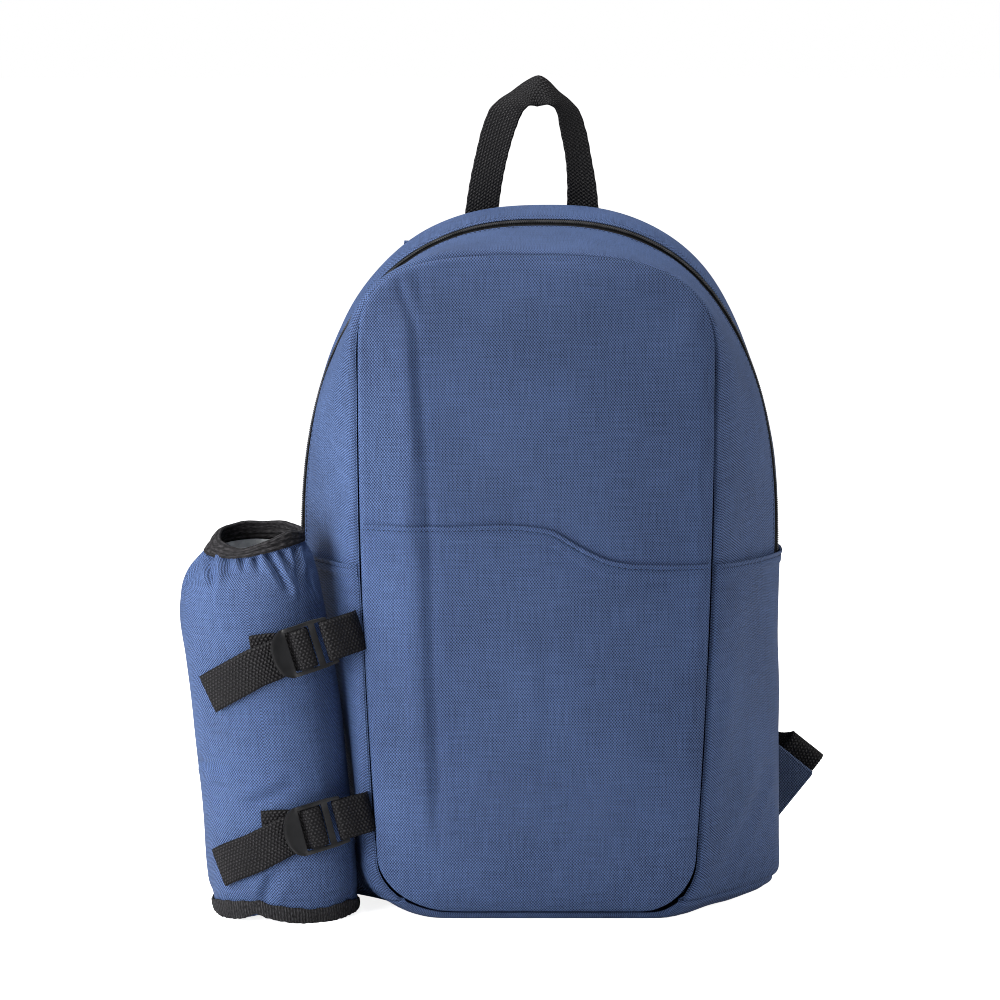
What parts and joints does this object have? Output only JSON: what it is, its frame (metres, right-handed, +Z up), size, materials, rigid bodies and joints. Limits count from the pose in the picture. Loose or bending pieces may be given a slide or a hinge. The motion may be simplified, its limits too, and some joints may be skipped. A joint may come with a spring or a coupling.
{
  "type": "cooler backpack",
  "caption": "Arch-shaped insulated cloth backpack with a zip round the arch, slip pockets, a webbing grab handle, padded straps and an insulated bottle sleeve buckled to its side.",
  "frame": {"origin": "middle of the pack's flat base, on the floor, with the bottle sleeve left out of the middle", "axes": "+X to the right of someone who faces the front, +Y from the front to the back panel, +Z up"},
  "size_m": [0.4084, 0.2016, 0.5147],
  "materials": {
    "pack_cloth": "coarse plain-weave polyester, matte with a faint sheen",
    "webbing": "woven webbing, matte",
    "binding": "ribbed elastic binding, matte",
    "zip": "coil zip on woven tape",
    "plastic": "moulded, satin",
    "foil": "silvery coated film, crumpled"
  },
  "bodies": {
    "root": {"front_panel": "pack_cloth", "front_pocket": "pack_cloth", "gusset_front": "pack_cloth", "zipper": "zip", "zip_slider": "plastic", "gusset_rear": "pack_cloth", "base_panel": "pack_cloth", "back_panel": "pack_cloth", "side_pocket_right": "pack_cloth", "side_pocket_left": "pack_cloth", "grab_handle": "webbing", "shoulder_pad_right": "pack_cloth", "strap_webbing_right": "webbing", "strap_tab_right": "pack_cloth", "strap_adjuster_right": "plastic", "shoulder_pad_left": "pack_cloth", "strap_webbing_left": "webbing", "strap_tab_left": "pack_cloth", "strap_adjuster_left": "plastic", "bottle_sleeve": "pack_cloth", "sleeve_lining": "foil", "sleeve_rim": "binding", "sleeve_hem": "binding", "sleeve_base": "pack_cloth", "upper_buckle": "plastic", "upper_sleeve_webbing": "webbing", "upper_anchor_webbing": "webbing", "lower_buckle": "plastic", "lower_sleeve_webbing": "webbing", "lower_anchor_webbing": "webbing"}
  },
  "joints": []
}
